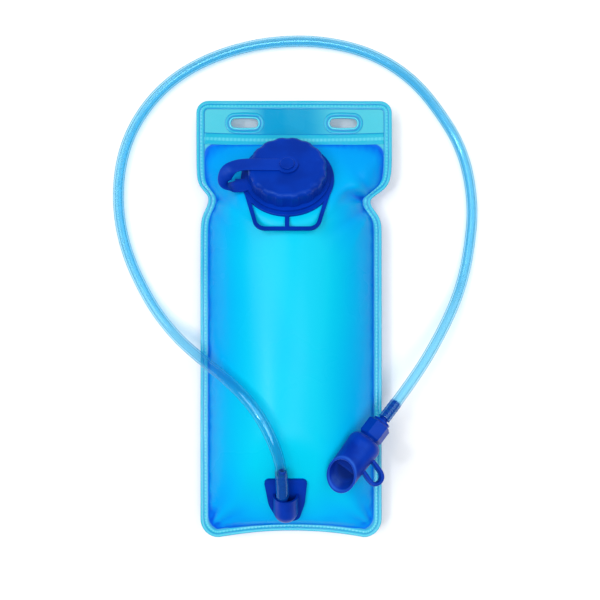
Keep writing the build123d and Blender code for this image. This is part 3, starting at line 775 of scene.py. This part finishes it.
def moulding_finish(name, body, shade, shine, grain_scale, grain_depth):
    """Injection-moulded plastic: slow colour drift, a fine grain, and faint paler scuffs."""
    material, wire, shader = new_material(name)
    place = here(wire)
    cloud = wire.add("TexNoise", None, {"Vector": place, "Scale": 45.0, "Detail": 3.0})
    grain = wire.add("TexNoise", None, {"Vector": place, "Scale": grain_scale, "Detail": 2.0})
    scuff = wire.add("TexNoise", None, {"Vector": place, "Scale": 160.0, "Detail": 5.0, "Distortion": 0.6})
    tone = wire.mix(cloud.within(0.3, 0.7), shade, body)
    tone = wire.mix(scuff.within(0.62, 0.8) * 0.3, tone, (0.01, 0.07, 0.55, 1))
    finish_with(
        wire, shader, {"Coat Weight": 0.03, "Coat Roughness": 0.15, "Specular IOR Level": 0.28,
                       "Specular Tint": blue_gloss},
        {
            "Base Color": tone,
            "Roughness": grain * 0.12 + shine,
            "Normal": bump(wire, grain, grain_depth, 0.6),
        },
    )
    return material


def paint(material, *names):
    """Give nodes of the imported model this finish."""
    for name in names:
        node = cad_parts[name]
        node.data.materials.clear()
        node.data.materials.append(material)


royal = (0.0, 0.034, 0.40, 1)
navy = (0.0, 0.024, 0.31, 1)
hard_blue = moulding_finish("moulded_blue", royal, navy, 0.30, 900.0, 0.00006)
soft_blue = moulding_finish("flexible_blue", (0.0, 0.036, 0.42, 1), (0.0, 0.027, 0.34, 1),
                            0.40, 700.0, 0.00008)
paint(hard_blue, "filler_neck", "grip_frame", "cap_shell", "cap_button", "outlet_port")
paint(hard_blue, "outlet_elbow", "valve_stem", "valve_collar", "valve_core")
paint(soft_blue, "tether_ring", "tether_eye")


def seal_finish():
    """Milky silicone rubber of the gasket and the O-rings."""
    material, wire, shader = new_material("milky_seal")
    dust = wire.add("TexNoise", None, {"Vector": here(wire), "Scale": 500.0, "Detail": 3.0})
    tone = wire.mix(dust, (0.62, 0.66, 0.70, 1), (0.80, 0.83, 0.86, 1))
    finish_with(
        wire, shader, {"Subsurface Weight": 0.1},
        {"Base Color": tone, "Roughness": dust * 0.2 + 0.38},
    )
    return material


paint(seal_finish(), "cap_gasket", "outlet_o_ring", "valve_o_rings")

# ---------------------------------------------------------------------------------------------
# The tether's strap: a flat band of flexible polyethylene from the ring under the cap, out to the
# left, up and back over the cap to its eye. It leans over where it turns, and it is one moulding
# with both.
strap_wide = 12.0
strap_thick = 1.6
strap_route = [
    (-6.5, 0.0, 18.95),
    (-21.0, 0.0, 18.97),
    (-34.0, 0.3, 19.2),
    (-43.5, -0.8, 18.4),
    (-50.4, -4.4, 15.0),
    (-52.6, -9.4, 10.2),
    (-51.0, -12.2, 5.8),
    (-46.0, -11.4, 3.6),
    (-40.5, -10.2, 3.3),
    (-35.0, -9.6, 3.3),
]


def port_points(local):
    """Points given across, up and out of the filler's plane, in the shared frame in millimetres."""
    return port_spot + local[..., :1] * port_across + local[..., 1:2] * port_up + local[..., 2:] * port_out


def rounded_bar(wide, thick, steps, power):
    """A super-ellipse: the cosine and sine of one turn, each raised to 2 over the power."""
    turn = np.linspace(0, 2 * math.pi, steps, endpoint=False)
    c, s = np.cos(turn), np.sin(turn)
    return np.stack([np.sign(c) * np.abs(c) ** (2 / power) * wide / 2,
                     np.sign(s) * np.abs(s) ** (2 / power) * thick / 2], 1)


def band_mesh(path, wide_way, profile):
    """A profile carried along a path: its first axis runs along wide_way, made square to the path."""
    forward = unit(np.gradient(path, axis=0))
    wide = unit(wide_way - (wide_way * forward).sum(-1, keepdims=True) * forward)
    thick = np.cross(forward, wide)
    points = path[:, None] + wide[:, None] * profile[None, :, :1] + thick[:, None] * profile[None, :, 1:]
    count = len(profile)
    faces = grid_faces(len(path), count, round_columns=True).tolist()
    faces += [list(range(count))[::-1], list(range((len(path) - 1) * count, len(path) * count))]
    return points.reshape(-1, 3), faces


def piece_of(name, points, faces, material):
    """A smooth piece from millimetre points and faces of any number of corners."""
    mesh = bpy.data.meshes.new(name)
    mesh.from_pydata((points * MM).tolist(), [], faces)
    mesh.polygons.foreach_set("use_smooth", np.ones(len(mesh.polygons), bool))
    mesh.materials.append(material)
    made = bpy.data.objects.new(name, mesh)
    bpy.context.scene.collection.objects.link(made)
    return made


strap_local, _ = even_steps(smooth_route(strap_route), 0.7 * MM)
strap_path = port_points(strap_local / MM)
strap_tilt = 0.75 * np.exp(-(((strap_local[:, 0] / MM + 53.0) / 5.5) ** 2))
strap_ahead = unit(np.gradient(strap_local[:, :2], axis=0))
strap_side = np.stack([strap_ahead[:, 1], -strap_ahead[:, 0]], 1)
strap_way = np.cos(strap_tilt)[:, None] * (strap_side[:, :1] * port_across + strap_side[:, 1:] * port_up) \
    + np.sin(strap_tilt)[:, None] * port_out
strap_profile = rounded_bar(strap_wide, strap_thick, 40, 7.0)
strap_points, strap_faces = band_mesh(strap_path, strap_way, strap_profile)
strap = piece_of("tether_band", strap_points, strap_faces, soft_blue)
strap_low = port_points(np.array([[-52.0, -11.0, 4.6]]))[0] * MM
strap_high = port_points(np.array([[-50.0, -2.0, 18.0]]))[0] * MM
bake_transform(strap)
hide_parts("tether_strap")

# ---------------------------------------------------------------------------------------------
# The bite valve's mouthpiece: moulded silicone, turned in shape, cut off obliquely, with a dished
# mouth whose slit opens when it is bitten. A finger loop of the same silicone stands off its side.
valve_spot = np.array([87.4, -69.3, 42.5])
valve_across = np.array([0.767165, -0.64145, 0.0])
valve_up = np.array([0.17142, 0.20502, 0.96363])
valve_along = np.array([-0.61812, -0.739264, 0.267238])
mouth_start = 41.0
mouth_shoulder = 14.3
mouth_tip = 13.2
mouth_middle = 79.0
mouth_half_run = 12.0
lip_wall = 1.9
mouth_roll = math.radians(22)
mouth_sides = 96
lip_drop = 0.9
neck_round = 9.3
shoulder_run = 6.5
bore = 8.1


def valve_points(local):
    """Points given across, up and along the valve's axis, in the shared frame in millimetres."""
    return valve_spot + local[..., :1] * valve_across + local[..., 1:2] * valve_up \
        + local[..., 2:] * valve_along


def cut_height(x, y):
    """How far along the axis the oblique mouth cuts; it faces up and a little to the left."""
    rise = y * math.cos(mouth_roll) - x * math.sin(mouth_roll)
    return mouth_middle - mouth_half_run * rise / mouth_tip


def mouthpiece_mesh():
    """Rows of points round the axis: up the bore, over the base's rounded shoulder, along the outer
    wall to the oblique cut, over the half-round lip, down into the dish, and in to its middle."""
    turn = np.linspace(0, 2 * math.pi, mouth_sides, endpoint=False)
    round_x, round_y = np.cos(turn), np.sin(turn)
    rows = []

    def row(radius, along_axis):
        rows.append(np.stack([radius * round_x, radius * round_y, along_axis + 0 * turn], -1))

    for radius, height in ((0.01, 60.0), (4.0, 60.0), (bore, 60.0), (bore, 56.0), (bore, 46.0),
                           (bore, mouth_start), (neck_round, mouth_start)):
        row(radius, height)
    for angle in np.linspace(0.12, 1, 9) * math.pi / 2:
        row(neck_round + (mouth_shoulder - neck_round) * math.sin(angle),
            mouth_start + shoulder_run * (1 - math.cos(angle)))
    for share in np.linspace(0, 1, 34)[1:]:
        waist = 0.35 * math.sin(share * math.pi)
        radius = mouth_shoulder + (mouth_tip - mouth_shoulder) * share - waist
        end = cut_height(radius * round_x, radius * round_y) - lip_drop
        row(radius, mouth_start + shoulder_run + (end - mouth_start - shoulder_run) * share)
    middle = mouth_tip - lip_wall / 2
    for angle in np.linspace(0, math.pi, 9)[1:-1]:
        radius = middle + lip_wall / 2 * math.cos(angle)
        row(radius, cut_height(radius * round_x, radius * round_y) - lip_drop + 0.95 * math.sin(angle))
    inner = mouth_tip - lip_wall
    for share in np.linspace(0, 1, 10):
        radius = inner - 1.3 * smooth_step(share) ** 1.6
        row(radius, cut_height(radius * round_x, radius * round_y) - lip_drop - 5.4 * share)
    floor = inner - 1.3
    for share in np.linspace(1, 0.001, 30)[1:]:
        radius = floor * share
        x, y = radius * round_x, radius * round_y
        rise = y * math.cos(mouth_roll) - x * math.sin(mouth_roll)
        flank = x * math.cos(mouth_roll) + y * math.sin(mouth_roll)
        drop = 5.4 + 3.4 * (1 - share ** 3) * logistic((-rise - 0.2) / 0.35) + 0.5 * (1 - share ** 2)
        fold = 0.7 * np.exp(-(((rise - 1.0) / 0.6) ** 2)) * smooth_step((9.4 - np.abs(flank)) / 3)
        row(radius, cut_height(x, y) - lip_drop - drop + fold)
    points = np.stack(rows)
    below = cut_height(points[..., 0], points[..., 1]) - lip_drop - points[..., 2]
    within = np.hypot(points[..., 0], points[..., 1]) < mouth_tip - lip_wall + 0.05
    past_bore = points[..., 2] > 60.5
    # A mask of painted shade that deepens down into the dish, less a band of painted highlight on the lip.
    dished = smooth_step(below / 5) * (0.55 + 0.45 * smooth_step((below - 6) / 2))
    recess = np.where(within & past_bore, dished, 0)
    recess -= 0.8 * np.exp(-((below / 0.9) ** 2)) * (recess < 0.2) * past_bore
    faces = grid_faces(len(rows), mouth_sides, round_columns=True).tolist()
    last_row = (len(rows) - 1) * mouth_sides
    faces += [list(range(mouth_sides))[::-1], list(range(last_row, last_row + mouth_sides))]
    return valve_points(points).reshape(-1, 3), faces, recess


def silicone_finish():
    """Coloured silicone: matte and dust-grained, with painted shade deep in the dish and a painted
    highlight on its thin lip.
    """
    material, wire, shader = new_material("blue_silicone")
    place = here(wire)
    cloud = wire.add("TexNoise", None, {"Vector": place, "Scale": 60.0, "Detail": 3.0})
    grain = wire.add("TexNoise", None, {"Vector": place, "Scale": 1100.0, "Detail": 2.0})
    tone = wire.mix(cloud.within(0.3, 0.7), (0.0, 0.020, 0.31, 1), (0.0, 0.036, 0.43, 1))
    recess = here(wire, "recess")
    # Painted shade in the dish; where the mask is negative, a painted highlight on the lip.
    tone = wire.mix(recess * 0.8, tone, (0.0, 0.006, 0.09, 1))
    tone = wire.mix(recess * -0.9, tone, (0.02, 0.11, 0.62, 1))
    finish_with(
        wire, shader, {"Sheen Weight": 0.02, "Sheen Roughness": 0.4, "Specular IOR Level": 0.3,
                       "Specular Tint": blue_gloss},
        {"Base Color": tone, "Roughness": cloud * 0.14 + 0.34, "Normal": bump(wire, grain, 0.00005, 0.5)},
    )
    return material


silicone = silicone_finish()
mouth_points, mouth_faces, mouth_shade_and_light = mouthpiece_mesh()
mouthpiece = piece_of("bite_mouthpiece", mouth_points, mouth_faces, silicone)
store(mouthpiece, "recess", mouth_shade_and_light)
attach(mouthpiece, "reservoir")
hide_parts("mouthpiece")

loop_route = [
    (10.5, 0.0, 52.2),
    (15.0, 0.0, 53.2),
    (20.0, 0.0, 54.4),
    (24.8, 0.0, 55.6),
    (28.3, 0.0, 58.6),
    (28.8, 0.0, 63.6),
    (26.0, 0.0, 67.4),
    (21.0, 0.0, 67.0),
    (15.5, 0.0, 65.2),
    (10.5, 0.0, 64.2),
]
loop_local, _ = even_steps(smooth_route(loop_route), 0.7 * MM)
loop_path = valve_points(loop_local / MM)
loop_way = np.broadcast_to(valve_up, loop_path.shape)
loop_points, loop_faces = band_mesh(loop_path, loop_way, rounded_bar(9.6, 3.7, 40, 3.2))
finger_loop = piece_of("finger_band", loop_points, loop_faces, silicone)
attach(finger_loop, "reservoir")
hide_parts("finger_loop")
